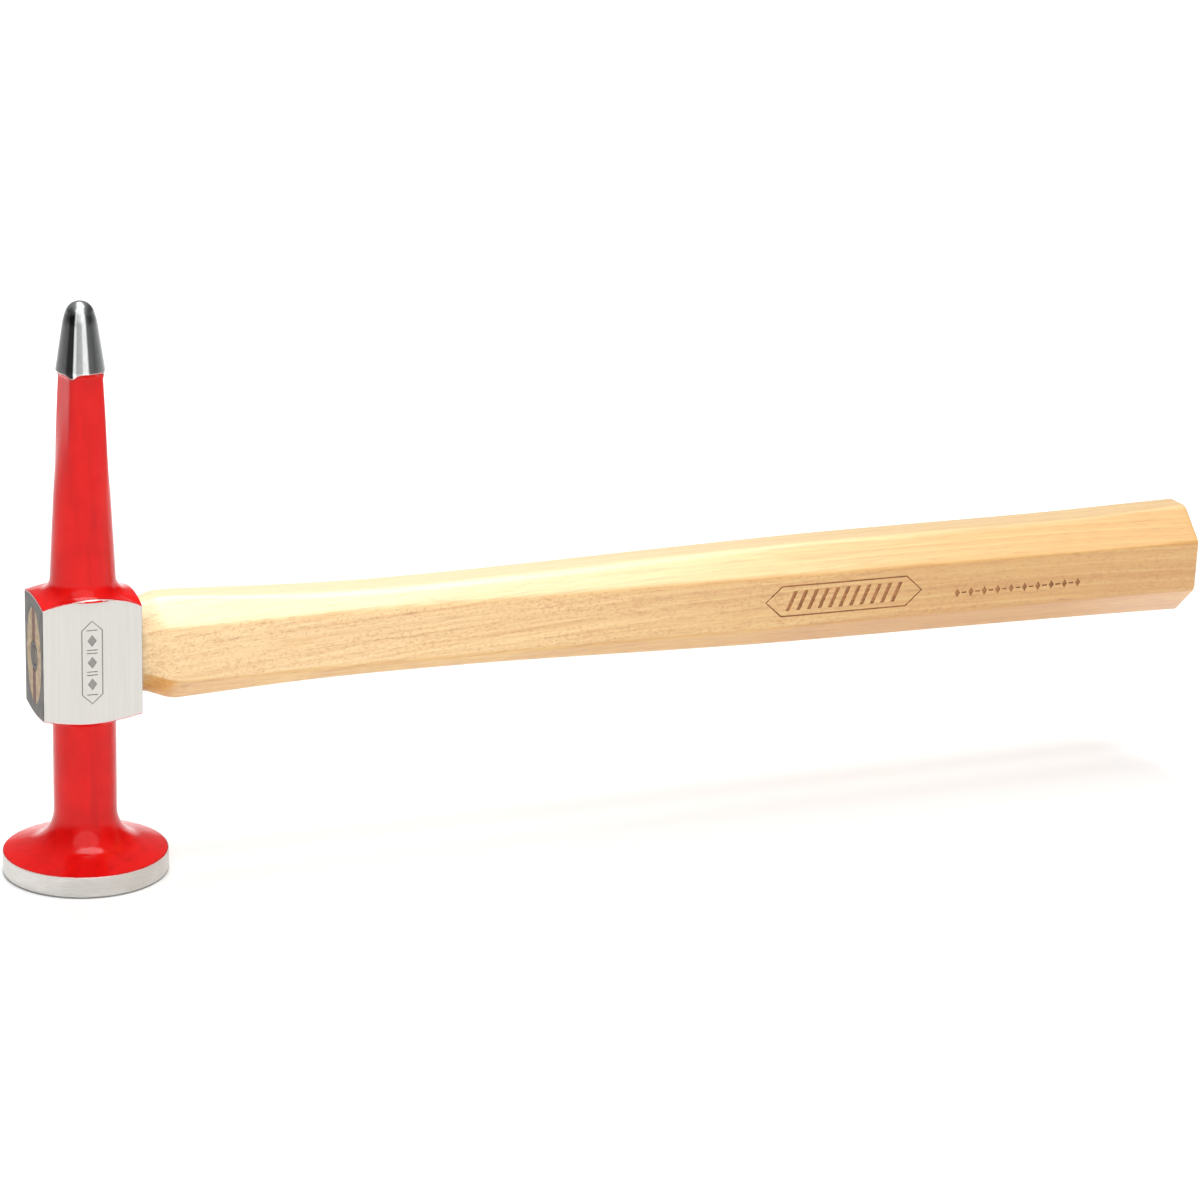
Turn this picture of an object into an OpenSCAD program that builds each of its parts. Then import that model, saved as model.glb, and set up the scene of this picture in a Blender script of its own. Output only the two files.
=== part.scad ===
// Panel-beating hammer: a round flat striking disc at one end of the head,
// a blunt pick at the other, and a faceted hickory handle wedged in the eye.
// Origin: centre of the striking face. +Z runs up the head to the pick's tip,
// +X runs along the handle away from the head.

/* [Head] */
// Diameter of the striking disc
disc_d = 40; // [37:0.5:44]
// Height of the disc's upright rim
rim_h = 5.2; // [4:0.1:6]
// Diameter of the round neck between the disc and the eye block
neck_d = 15.2; // [13:0.1:17]
// Height from the striking face to the tip of the pick
head_h = 141; // [136:1:150]
// Height of the handle's axis above the striking face
eye_z = 55.4; // [54:0.1:58]
// Length of the eye block, along the handle
block_l = 24; // [23:0.5:26]
// Width of the eye block, across the handle
block_w = 18.4; // [18:0.1:21]
// Height of the eye block at its upright edges
block_h = 27.8; // [27:0.1:30]

/* [Pick] */
// Diameter of the pick's shank where it leaves the eye block
shank_d = 15.9; // [14:0.1:17]
// Diameter of the pick's shank just under its ground tip
shank_top_d = 10.4; // [9:0.1:11]
// Height of the ground tip above the shank
tip_h = 18.5; // [17:0.5:22]
// Largest diameter of the ground tip
tip_d = 11.6; // [11.4:0.1:13]
// Lean of the ground tip's sides, in degrees
tip_lean = 9.3; // [7:0.1:10]
// Depth of the four flats at the top of the shank
flat_depth = 0.3; // [0.1:0.05:0.4]

/* [Eye and wedges] */
// Width of the oval eye where the tenon shows
eye_w = 14.2; // [13:0.1:14.6]
// Height of the oval eye where the tenon shows
eye_h = 23.8; // [22:0.1:24.6]
// Width of the eye on the handle's side
eye_inner_w = 13.8; // [12.6:0.1:14.2]
// Height of the eye on the handle's side
eye_inner_h = 22; // [20:0.1:22.4]
// Thickness of the wooden wedge at its outer end
wedge_t = 3; // [2:0.1:3.4]
// Thickness of the wooden wedge at its inner edge
wedge_edge_t = 0.8; // [0.6:0.1:1.2]
// Depth of the wooden wedge
wedge_depth = 18; // [15:0.5:21]
// Outer diameter of the steel ring wedge
ring_d = 7.5; // [6.5:0.1:8]
// Wall thickness of the ring wedge at its outer end
ring_wall = 1.5; // [1.2:0.1:1.8]
// Depth of the ring wedge
ring_depth = 12; // [9:0.5:13]

/* [Handle] */
// Distance from the head's axis to the end of the handle
reach = 303; // [280:1:330]
// Height of the handle at its shoulder, next to the eye block
shoulder_h = 25.8; // [24:0.1:27]
// Height of the handle at its slim waist
waist_h = 21.8; // [20:0.1:23]
// Height of the handle along the grip
grip_h = 27; // [25:0.1:29]
// Height of the handle at its flared end
butt_h = 30; // [28:0.1:32]
// Width of the handle at its waist
waist_w = 18.8; // [17:0.1:20]
// Width of the handle along the grip
grip_w = 22.6; // [21:0.1:25]
// Width of the handle at its flared end
butt_w = 24; // [22:0.1:26]
// Height of the flat facet on each side
side_flat = 13.2; // [12:0.1:14]
// Chamfer round the end of the handle
butt_chamfer = 0.8; // [0.4:0.1:1.5]

/* [Hidden] */
$fn = 96;

// Slope of the eye block's top and bottom, which are shallow cones round the head's axis
block_slope = 0.27;
block_corner_r = norm([block_l / 2, block_w / 2]);
block_edge = 0.5;
block_top_z = eye_z + block_h / 2;
block_bottom_z = eye_z - block_h / 2;
// The block is turned a little wider than its corners before its sides are cut
block_turned_r = block_corner_r + 1;

// Top of the disc, a cone that climbs from the rim to the neck
disc_slope = 0.36;
disc_edge_r = 0.5;
disc_fillet_r = 4.5;
neck_fillet_r = 2;
shank_fillet_r = 3.6;

// Ground tip: an under-chamfer up to its widest point, then sides that lean in to a round nose
tip_z = head_h - tip_h;
tip_chamfer_h = 1.9;
tip_wide_z = tip_z + tip_chamfer_h;
tip_edge_r = 0.6;
nose_top_r = tip_d / 2 - tan(tip_lean) * (head_h - tip_wide_z);
// The nose's arc ends this share of the way to the axis, so that it never crosses it
nose_share = 0.995;
nose_r = nose_share * nose_top_r * tan(45 + tip_lean / 2);
flats_h = 14;

// Steps in each rounded corner of an outline
corner_steps = 8;
// Small overshoot that keeps cutting tools clear of the faces that they leave
clear = 1;
block_x = block_l / 2;
ring_edge_t = 0.3;

// Handle outline: places along the handle, values there and slopes there
shoulder_x = block_x + 10;
waist_x = 75;
swell_x = 140;
grip_x = 205;
flare_x = 262;
swell_share = 0.5;
heights = [
    [shoulder_x, shoulder_h, -0.13],
    [waist_x, waist_h, 0],
    [swell_x, waist_h + (grip_h - waist_h) * swell_share, 0.065],
    [grip_x, grip_h, 0.01],
    [flare_x, grip_h + 0.4, 0.02],
    [reach, butt_h, 0.09]
];
widths = [
    [shoulder_x, waist_w + 0.4, 0],
    [waist_x, waist_w, 0],
    [swell_x, waist_w + (grip_w - waist_w) * swell_share, 0.04],
    [grip_x, grip_w, 0.005],
    [reach, butt_w, 0.02]
];
// Angle of the slanted facets between the sides and the top
slant = 45;
shoulder_steps = 5;
facet_steps = 24;
// Points round the oval eye
eye_points = 32;

function unit(v) = v / norm(v);

// Arc of radius r that touches both sides of corner b, between a and c
function corner_arc(a, b, c, r) =
    let (
        u = unit(a - b),
        v = unit(c - b),
        half = acos(u * v) / 2,
        centre = b + unit(u + v) * r / sin(half),
        from = b + u * r / tan(half) - centre,
        to = b + v * r / tan(half) - centre,
        start = atan2(from.y, from.x),
        turn = atan2(to.y, to.x) - start,
        sweep = turn > 180 ? turn - 360 : (turn < -180 ? turn + 360 : turn)
    )
    [for (i = [0 : corner_steps])
        centre + r * [cos(start + sweep * i / corner_steps), sin(start + sweep * i / corner_steps)]];

// Outline through corners [x, y, radius], with each corner rounded to its radius
function rounded(corners) =
    let (last = len(corners) - 1)
    [for (i = [0 : last])
        let (
            a = corners[i == 0 ? last : i - 1],
            b = corners[i],
            c = corners[i == last ? 0 : i + 1]
        )
        each b[2] == 0 ? [[b.x, b.y]] : corner_arc([a.x, a.y], [b.x, b.y], [c.x, c.y], b[2])];

// Height of the block's top above a point at radius r; its bottom mirrors it
function block_rise(r) = block_slope * (block_corner_r - r);

// Smooth curve through a table of [x, value, slope]
function smooth_at(table, x) =
    let (
        i = max([for (k = [0 : len(table) - 2]) x >= table[k][0] ? k : 0]),
        p = table[i],
        q = table[i + 1],
        span = q[0] - p[0],
        t = (x - p[0]) / span
    )
    p[1] * (2 * t ^ 3 - 3 * t ^ 2 + 1) + p[2] * span * (t ^ 3 - 2 * t ^ 2 + t)
    + q[1] * (3 * t ^ 2 - 2 * t ^ 3) + q[2] * span * (t ^ 3 - t ^ 2);

// Half sizes of the eye at x, across and upright: the taper from end to end is straight
function eye_half(x) =
    let (share = (x + block_x) / block_l)
    [eye_w + (eye_inner_w - eye_w) * share, eye_h + (eye_inner_h - eye_h) * share] / 2;

// Ring of points round the oval eye at x
function eye_ring(x) =
    let (half = eye_half(x))
    [for (i = [0 : eye_points - 1])
        let (a = 360 * i / eye_points)
        [x, half.x * cos(a), eye_z + half.y * sin(a)]];

// Distance from an oval's centre to its tangent line that faces angle a
function oval_reach(half, a) = norm([half.x * cos(a), half.y * sin(a)]);

// Half sizes of the faceted handle at x, across and upright
function handle_half(x) = [smooth_at(widths, x), smooth_at(heights, x)] / 2;

// Distance from the handle's axis to the facet that faces angle a
function facet_reach(half, a) =
    a == 0 ? half.x : (a == 90 ? half.y : half.x * cos(a) + side_flat / 2 * sin(a));

// Outline of one pair of facets as [x, distance from the axis]: shoulder, length and end chamfer
function facet_line(a) =
    let (
        neck = oval_reach(eye_half(block_x), a),
        shoulder = facet_reach(handle_half(shoulder_x), a),
        chamfer_x = reach - butt_chamfer
    )
    concat(
        [for (i = [0 : shoulder_steps - 1])
            let (share = i / shoulder_steps, ease = share ^ 2 * (3 - 2 * share))
            [block_x + (shoulder_x - block_x) * share, neck + (shoulder - neck) * ease]],
        [for (i = [0 : facet_steps])
            let (x = shoulder_x + (chamfer_x - shoulder_x) * i / facet_steps)
            [x, facet_reach(handle_half(x), a)]],
        [[reach, facet_reach(handle_half(reach), a) - butt_chamfer]]
    );

// Slab between two opposite facets, which face angle a and the opposite way
module facet_slab(a) {
    line = facet_line(a);
    last = len(line) - 1;
    depth = 2 * butt_h;
    translate([0, 0, eye_z])
        rotate([a, 0, 0])
            translate([0, 0, -depth / 2])
                linear_extrude(depth)
                    polygon(concat(line, [for (i = [last : -1 : 0]) [line[i].x, -line[i].y]]));
}

// Closed skin between two rings with equal numbers of points, which turn from +Y to +Z
module loft(from, to) {
    n = len(from);
    sides = [for (k = [0 : n - 1])
        let (next = (k + 1) % n)
        each [[k, n + next, next], [k, n + k, n + next]]];
    start_cap = [[for (k = [0 : n - 1]) k]];
    end_cap = [[for (k = [n - 1 : -1 : 0]) n + k]];
    polyhedron(points = concat(from, to), faces = concat(start_cap, sides, end_cap));
}

// Tapered oval plug that fills the eye, longer than the block by before and after
module eye_plug(before = 0, after = 0) {
    loft(eye_ring(-block_x - before), eye_ring(block_x + after));
}

// Turned outline of the whole head, from the striking face to the nose
module head_outline() {
    neck_r = neck_d / 2;
    rim_r = disc_d / 2;
    shank_r = shank_d / 2;
    neck_foot_z = rim_h + disc_slope * (rim_r - neck_r);
    polygon(rounded([
        [0, 0, 0],
        [rim_r, 0, disc_edge_r],
        [rim_r, rim_h, disc_edge_r],
        [neck_r, neck_foot_z, disc_fillet_r],
        [neck_r, block_bottom_z - block_rise(neck_r), neck_fillet_r],
        [block_turned_r, block_bottom_z - block_rise(block_turned_r), 0],
        [block_turned_r, block_top_z + block_rise(block_turned_r), 0],
        [shank_r, block_top_z + block_rise(shank_r), shank_fillet_r],
        [shank_top_d / 2, tip_z, 0],
        [tip_d / 2, tip_wide_z, tip_edge_r],
        [nose_top_r, head_h, nose_r],
        [0, head_h, 0]
    ]));
}

// Everything outside the block's four sides, over the block's height
module block_sides() {
    low = block_bottom_z - block_rise(block_w / 2) - clear;
    high = block_top_z + block_rise(block_w / 2) + clear;
    x = block_l / 2;
    y = block_w / 2;
    e = block_edge;
    translate([0, 0, low])
        linear_extrude(high - low)
            difference() {
                circle(r = block_turned_r + clear);
                polygon([
                    [x - e, -y], [x, e - y], [x, y - e], [x - e, y],
                    [e - x, y], [-x, y - e], [-x, e - y], [e - x, -y]
                ]);
            }
}

// Four shallow flats that fade out down the shank, below the ground tip
module shank_flats() {
    shank_lean = (shank_d - shank_top_d) / 2 / (tip_z - block_top_z);
    lean = atan(shank_lean + flat_depth / flats_h);
    reach_x = shank_top_d;
    for (turn = [0 : 90 : 270])
        rotate(turn)
            translate([shank_top_d / 2 - flat_depth, 0, tip_z])
                rotate([0, -lean, 0])
                    translate([0, -reach_x, -flats_h * 1.6])
                        cube([reach_x, 2 * reach_x, flats_h * 1.6]);
}

module head() {
    color("crimson")
        difference() {
            rotate_extrude() head_outline();
            block_sides();
            shank_flats();
            eye_plug(clear, clear);
        }
}

// Wooden wedge before its ends are trimmed to the eye: thick outside, thin inside.
// Its taper runs on past the outer end by over.
module wedge_blank(over = 0) {
    outer = -block_x - over;
    inner = -block_x + wedge_depth;
    outer_t = wedge_t + (wedge_t - wedge_edge_t) * over / wedge_depth;
    translate([0, 0, eye_z - eye_h / 2 - clear])
        linear_extrude(eye_h + 2 * clear)
            polygon([
                [outer, -outer_t / 2],
                [inner, -wedge_edge_t / 2],
                [inner, wedge_edge_t / 2],
                [outer, outer_t / 2]
            ]);
}

// Steel ring with a plain bore and a tapered outside, thin at its inner edge.
// Its taper runs on past the outer end by over.
module ring_blank(over = 0) {
    bore_r = ring_d / 2 - ring_wall;
    edge_r = bore_r + ring_edge_t;
    outer_r = ring_d / 2 + (ring_d / 2 - edge_r) * over / ring_depth;
    translate([-block_x, 0, eye_z])
        rotate([0, 90, 0])
            rotate_extrude()
                polygon([[bore_r, -over], [outer_r, -over], [edge_r, ring_depth], [bore_r, ring_depth]]);
}

// Outside part of the handle: eight facets, as the slabs between opposite facets overlap
module handle_body() {
    intersection() {
        facet_slab(0);
        facet_slab(90);
        facet_slab(slant);
        mirror([0, 1, 0]) facet_slab(slant);
    }
}

module handle() {
    color("burlywood")
        difference() {
            union() {
                handle_body();
                eye_plug(0, clear);
            }
            wedge_blank(clear);
            ring_blank(clear);
        }
}

module wooden_wedge() {
    color("saddlebrown")
        difference() {
            intersection() {
                wedge_blank(clear);
                eye_plug();
            }
            ring_blank(clear);
        }
}

module ring_wedge() {
    color("slategray") ring_blank();
}

head();
handle();
wooden_wedge();
ring_wedge();
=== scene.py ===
"""Panel-beating hammer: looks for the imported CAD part, in metres, in the CAD frame."""
import math

import bpy
import bmesh
import numpy as np
from mathutils import Matrix, Vector, noise


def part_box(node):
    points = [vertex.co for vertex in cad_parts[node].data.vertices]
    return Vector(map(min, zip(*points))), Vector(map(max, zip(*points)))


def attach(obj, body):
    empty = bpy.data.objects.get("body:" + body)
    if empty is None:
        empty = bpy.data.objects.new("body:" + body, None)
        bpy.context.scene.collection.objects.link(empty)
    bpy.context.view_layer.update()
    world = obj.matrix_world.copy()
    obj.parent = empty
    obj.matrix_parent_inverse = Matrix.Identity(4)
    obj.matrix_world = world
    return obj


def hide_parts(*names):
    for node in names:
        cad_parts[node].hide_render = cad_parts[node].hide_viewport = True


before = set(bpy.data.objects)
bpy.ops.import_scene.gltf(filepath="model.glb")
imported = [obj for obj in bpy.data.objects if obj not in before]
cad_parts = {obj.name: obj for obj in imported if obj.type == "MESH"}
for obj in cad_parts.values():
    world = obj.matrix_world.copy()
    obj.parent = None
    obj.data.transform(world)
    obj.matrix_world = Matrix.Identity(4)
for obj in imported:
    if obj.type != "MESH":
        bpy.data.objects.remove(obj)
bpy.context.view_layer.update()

# ---------------------------------------------------------------- sizes, in millimetres
MM = 0.001


def box_mm(node):
    """Lowest and highest corners of a CAD node, in millimetres."""
    low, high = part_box(node)
    return Vector(low) / MM, Vector(high) / MM


HEAD_LOW, HEAD_HIGH = box_mm("head")
HANDLE_LOW, HANDLE_HIGH = box_mm("handle")
WEDGE_LOW, WEDGE_HIGH = box_mm("wooden_wedge")
RING_LOW, RING_HIGH = box_mm("ring_wedge")

# Head: the disc and the nose come from the CAD box, the rest repeats the part's own sizes
DISC_R = -HEAD_LOW.x
EYE_Z = (HANDLE_LOW.z + HANDLE_HIGH.z) / 2
BLOCK_X = -HANDLE_LOW.x
BLOCK_Y = 9.2
BLOCK_HALF_H = 13.9
BLOCK_SLOPE = 0.27
BLOCK_CORNER_R = math.hypot(BLOCK_X, BLOCK_Y)
BLOCK_EDGE = 0.3             # radius of all the block's edges
BLOCK_DROP = 0.06            # grinding at the block's upper corners, beyond BLOCK_DROP_R
BLOCK_DROP_R = 11
RIM_H = 5.2
RIM_TOP_EDGE = 0.3
FACE_EDGE = 0.5
FACE_CENTRE_R = 0.4          # small flat in the middle, closed by a fan
DISC_SLOPE = 0.30
DISC_FILLET_R = 9
NECK_R = 7.6
NECK_FILLET_R = 1.6
SHANK_R = 7.95
SHANK_FILLET_R = 3.8
SHANK_TOP_R = 5.2
SHANK_TOP_Z = 122.5
TIP_WIDE_Z = 124.4
TIP_R = 5.8
TIP_STEP_R = 0.25
TIP_EDGE = 0.5
TIP_WAIST = (4.05, 135.8)
TIP_WAIST_R = 14
NOSE_TOP_R = 2.7
NOSE_Z = HEAD_HIGH.z - 0.4

# Upper shank: it grows four-sided between the first two heights and is round again at the tip
SQUARE_FROM_Z = 92
SQUARE_FULL_Z = 118
SQUARE_FADE = 1.6
SQUARE_FLAT = 0.815          # centre to flat and corner radius, as shares of the round radius
SQUARE_CORNER = 0.22
SQUARE_TURN = math.radians(10)

# Coat attribute: distance inside the enamel, in millimetres, where no edge is near
PAINTED = 2
UNPAINTED = -2
CUT_SURFACE = -5

# Eye, oval and tapered, and the wedges in it
EYE_OUTER = (7.1, 11.9)
EYE_INNER = (6.9, 11.0)
WEDGE_T = WEDGE_HIGH.y - WEDGE_LOW.y
WEDGE_EDGE_T = 0.8
RING_R = RING_HIGH.y
RING_WALL = 1.5
RING_EDGE_T = 0.3
RING_CROWN = 0.25
OVERCUT = 0.5                # how far cutting tools stand out of the surface they cut

# Handle: [x, value, slope] tables for its height and its width
REACH = HANDLE_HIGH.x
SHOULDER_X = BLOCK_X + 10
SIDE_FLAT = 6.6
BUTT_R = 1.0
HEIGHTS = [
    (SHOULDER_X, 25.8, -0.13), (75, 21.8, 0), (140, 24.4, 0.065),
    (205, 27.0, 0.01), (262, 27.4, 0.02), (REACH, 29.9, 0.09),
]
WIDTHS = [
    (SHOULDER_X, 19.2, 0), (75, 18.8, 0), (140, 20.7, 0.04),
    (205, 22.6, 0.005), (REACH, 23.9, 0.02),
]


# ---------------------------------------------------------------- small geometry helpers
def ease(t):
    """Smooth step from 0 to 1."""
    t = min(1, max(0, t))
    return t * t * (3 - 2 * t)


def smooth_at(table, x):
    """Smooth curve through [x, value, slope] rows."""
    for p, q in zip(table, table[1:]):
        if x <= q[0] or q is table[-1]:
            break
    span = q[0] - p[0]
    t = (x - p[0]) / span
    return (p[1] * (2 * t**3 - 3 * t**2 + 1) + p[2] * span * (t**3 - 2 * t**2 + t)
            + q[1] * (3 * t**2 - 2 * t**3) + q[2] * span * (t**3 - t**2))


def corner_arc(a, b, c, radius, steps):
    """Points of the arc that rounds corner b, between a and c."""
    a, b, c = Vector(a), Vector(b), Vector(c)
    if radius == 0:
        return [b]
    u, v = (a - b).normalized(), (c - b).normalized()
    half = u.angle(v) / 2
    centre = b + (u + v).normalized() * (radius / math.sin(half))
    start = b + u * (radius / math.tan(half)) - centre
    finish = b + v * (radius / math.tan(half)) - centre
    first = math.atan2(start.y, start.x)
    turn = (math.atan2(finish.y, finish.x) - first + math.pi) % math.tau - math.pi
    angles = [first + turn * i / steps for i in range(steps + 1)]
    return [centre + Vector((math.cos(t), math.sin(t))) * radius for t in angles]


def rect_radius(angle, half_x, half_y, corner):
    """Distance from the centre to the edge of a rounded rectangle, in one direction."""
    c, s = abs(math.cos(angle)), abs(math.sin(angle))
    inner_x, inner_y = half_x - corner, half_y - corner
    if c > 1e-9 and half_x / c * s <= inner_y:
        return half_x / c
    if s > 1e-9 and half_y / s * c <= inner_x:
        return half_y / s
    along = inner_x * c + inner_y * s
    off = inner_x * s - inner_y * c
    return along + math.sqrt(max(0, corner**2 - off**2))


def link_object(name, data):
    """New object in the scene."""
    made = bpy.data.objects.new(name, data)
    bpy.context.scene.collection.objects.link(made)
    return made


def mesh_object(name, points, faces):
    """New mesh object from points in millimetres."""
    mesh = bpy.data.meshes.new(name)
    mesh.from_pydata([Vector(p) * MM for p in points], [], faces)
    return link_object(name, mesh)


def grid_object(name, rings, zones=None):
    """Closed skin over rings of points, in millimetres, with a fan at each end.

    zones gives the material of each face between two rings.
    """
    n = len(rings[0])
    points = [p for ring in rings for p in ring]
    faces = []
    material = []
    for i in range(len(rings) - 1):
        for k in range(n):
            m = (k + 1) % n
            faces.append((i * n + k, i * n + m, (i + 1) * n + m, (i + 1) * n + k))
            material.append(zones[i][k] if zones else 0)
    for ring, flip in ((0, True), (len(rings) - 1, False)):
        centre = sum((Vector(p) for p in rings[ring]), Vector()) / n
        points.append(centre)
        for k in range(n):
            a, b = ring * n + k, ring * n + (k + 1) % n
            faces.append((b, a, len(points) - 1) if flip else (a, b, len(points) - 1))
            material.append(zones[0 if flip else -1][k] if zones else 0)
    made = mesh_object(name, points, faces)
    made.data.polygons.foreach_set("material_index", material)
    made.data.validate()
    return made


def face_outwards(thing):
    """Turns every face's normal outwards."""
    bm = bmesh.new()
    bm.from_mesh(thing.data)
    bmesh.ops.recalc_face_normals(bm, faces=bm.faces)
    bm.to_mesh(thing.data)
    bm.free()


def shade(thing, sharp_degrees):
    """Smooth shading, with edges sharper than the angle kept sharp."""
    thing.data.polygons.foreach_set("use_smooth", [True] * len(thing.data.polygons))
    thing.data.set_sharp_from_angle(angle=math.radians(sharp_degrees))
    thing.data.update()


def cut(thing, tool):
    """Cuts tool out of thing and removes the tool."""
    modifier = thing.modifiers.new("cut", "BOOLEAN")
    modifier.operation = "DIFFERENCE"
    modifier.solver = "EXACT"
    modifier.object = tool
    bake_modifiers(thing)
    bpy.data.objects.remove(tool)


def bake_modifiers(thing):
    """Applies every modifier on thing."""
    graph = bpy.context.evaluated_depsgraph_get()
    mesh = bpy.data.meshes.new_from_object(thing.evaluated_get(graph))
    thing.modifiers.clear()
    thing.data = mesh


def eye_half(x):
    """Half width and half height of the oval eye at x."""
    t = (x + BLOCK_X) / (2 * BLOCK_X)
    return [a + (b - a) * t for a, b in zip(EYE_OUTER, EYE_INNER)]


def oval_point(x, angle):
    """Point on the eye's wall."""
    half_y, half_z = eye_half(x)
    return (x, half_y * math.cos(angle), EYE_Z + half_z * math.sin(angle))


# ---------------------------------------------------------------- node helpers
def new_material(name):
    """New material with an empty node tree: both are given back."""
    material = bpy.data.materials.new(name)
    material.use_nodes = True
    material.node_tree.nodes.clear()
    return material, material.node_tree


def add(tree, kind, inputs=None, **props):
    """New node: inputs are constants or sockets by name or place."""
    made = tree.nodes.new(kind)
    for key, value in props.items():
        setattr(made, key, value)
    for key, value in (inputs or {}).items():
        if isinstance(value, bpy.types.NodeSocket):
            tree.links.new(value, made.inputs[key])
        else:
            made.inputs[key].default_value = value
    return made


def place(tree, scale=(1, 1, 1), offset=(0, 0, 0), turn=(0, 0, 0)):
    """Object coordinates in millimetres, then scaled, turned and moved."""
    source = add(tree, "ShaderNodeTexCoord").outputs["Object"]
    in_mm = add(tree, "ShaderNodeVectorMath", {0: source, 1: (1 / MM,) * 3},
                operation="MULTIPLY").outputs[0]
    return add(tree, "ShaderNodeMapping", {"Vector": in_mm, "Scale": scale, "Location": offset,
                                           "Rotation": turn}).outputs[0]


def grain(tree, vector, scale=1.0, detail=2.0, rough=0.5):
    """Noise value from 0 to 1."""
    return add(tree, "ShaderNodeTexNoise", {"Vector": vector, "Scale": scale, "Detail": detail,
                                            "Roughness": rough}).outputs[0]


def calc(tree, operation, a, b=0.0, c=0.0):
    return add(tree, "ShaderNodeMath", {0: a, 1: b, 2: c}, operation=operation).outputs[0]


def times(tree, a, b):
    return calc(tree, "MULTIPLY", a, b)


def span(tree, value, low, high, to_low=0.0, to_high=1.0):
    """Moves a value's range from low..high to to_low..to_high, smoothly and clamped."""
    return add(tree, "ShaderNodeMapRange", {"Value": value, "From Min": low, "From Max": high,
                                            "To Min": to_low, "To Max": to_high},
               interpolation_type="SMOOTHSTEP").outputs[0]


def blend_colour(tree, share, a, b, kind="MIX"):
    return add(tree, "ShaderNodeMix", {0: share, 6: a, 7: b},
               data_type="RGBA", blend_type=kind).outputs[2]


def layered(tree, colour, layers, kind="MIX"):
    """Colour with each layer, a share and a tint, blended over it in turn."""
    for share, tint in layers:
        colour = blend_colour(tree, share, colour, tint, kind)
    return colour


def blend_value(tree, share, a, b):
    return add(tree, "ShaderNodeMix", {0: share, 2: a, 3: b}, data_type="FLOAT").outputs[0]


def bump(tree, height, strength, distance_mm, normal=None):
    inputs = {"Height": height, "Strength": strength, "Distance": distance_mm * MM}
    if normal:
        inputs["Normal"] = normal
    return add(tree, "ShaderNodeBump", inputs).outputs[0]


def attribute(tree, name):
    return add(tree, "ShaderNodeAttribute", attribute_name=name).outputs["Fac"]


def principled(tree, inputs):
    return add(tree, "ShaderNodeBsdfPrincipled", inputs).outputs[0]


def finish_material(tree, surface):
    add(tree, "ShaderNodeOutputMaterial", {"Surface": surface})


def rgb(red, green, blue):
    """Linear colour from the sRGB values 0 to 255."""
    def linear(v):
        v /= 255
        return v / 12.92 if v <= 0.04045 else ((v + 0.055) / 1.055) ** 2.4
    return (linear(red), linear(green), linear(blue), 1)


# ---------------------------------------------------------------- materials of the head
ENAMEL_IOR = 1.3


def enamel(tree):
    """Colour, roughness and normal of glossy red enamel.

    It is slightly cloudy, with faint upright streaks, dust specks, orange peel and a slow ripple.
    """
    at = place(tree)
    cloud = grain(tree, at, 0.09, 3)
    streaks = grain(tree, place(tree, (0.45, 0.45, 0.03)), 1.0, 3, 0.6)
    specks = span(tree, grain(tree, at, 2.6, 2, 0.6), 0.70, 0.78)
    colour = layered(tree, rgb(202, 14, 12), [
        (span(tree, cloud, 0.3, 0.7), rgb(216, 20, 17)),
        (span(tree, streaks, 0.45, 0.75, 0, 0.45), rgb(176, 8, 14)),
        (times(tree, specks, 0.35), rgb(120, 8, 12)),
    ])
    rough = blend_value(tree, span(tree, grain(tree, at, 0.5, 4), 0.3, 0.7), 0.10, 0.18)
    peel = grain(tree, at, 0.55, 2, 0.4)
    ripple = grain(tree, at, 0.2, 1, 0.4)
    height = calc(tree, "MULTIPLY_ADD", peel, 0.3, ripple)
    return colour, rough, bump(tree, height, 0.3, 0.3)


def coated_steel(name, steel):
    """Steel, made by steel(tree), under red enamel wherever the coat attribute says so."""
    material, tree = new_material(name)
    bare = steel(tree)
    ragged = calc(tree, "MULTIPLY_ADD", grain(tree, place(tree), 1.1, 4, 0.6), 0.34, -0.17)
    edge = calc(tree, "ADD", attribute(tree, "coat"), ragged)
    mask = span(tree, edge, -0.03, 0.03)
    # The enamel is darker where it thins out, and its edge stands up as a step
    colour, rough, normal = enamel(tree)
    colour = blend_colour(tree, span(tree, edge, 0.0, 0.5), rgb(150, 8, 14), colour)
    normal = bump(tree, span(tree, edge, -0.05, 0.18), 0.6, 0.08, normal)
    red = principled(tree, {"Base Color": colour, "Roughness": rough, "Normal": normal,
                            "IOR": ENAMEL_IOR})
    # Painted highlight: a thin pale pink band on the bare steel where the enamel ends, standing in
    # for the glint on the paint's edge
    smear = times(tree, span(tree, edge, -0.3, -0.12), 0.7)
    painted_edge_glint = principled(tree, {"Base Color": rgb(236, 168, 168), "Roughness": 0.3})
    bare = add(tree, "ShaderNodeMixShader", {0: smear, 1: bare, 2: painted_edge_glint}).outputs[0]
    both = add(tree, "ShaderNodeMixShader", {0: mask, 1: bare, 2: red}).outputs[0]
    finish_material(tree, both)
    return material


def ground_steel(tree):
    """Bright ground steel of the block's front and back: fine upright grinding lines."""
    at = place(tree, (7.0, 7.0, 0.05))
    lines = grain(tree, at, 1.0, 4, 0.65)
    broad = grain(tree, place(tree, (0.35, 0.35, 0.03)), 1.0, 3)
    colour = layered(tree, rgb(197, 194, 189), [
        (span(tree, lines, 0.25, 0.75), rgb(209, 206, 201)),
        (span(tree, broad, 0.35, 0.7, 0, 0.35), rgb(206, 204, 200)),
    ])
    rough = blend_value(tree, lines, 0.36, 0.55)
    return principled(tree, {"Base Color": colour, "Metallic": 0.9, "Roughness": rough,
                             "Normal": bump(tree, lines, 0.1, 0.03)})


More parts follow.
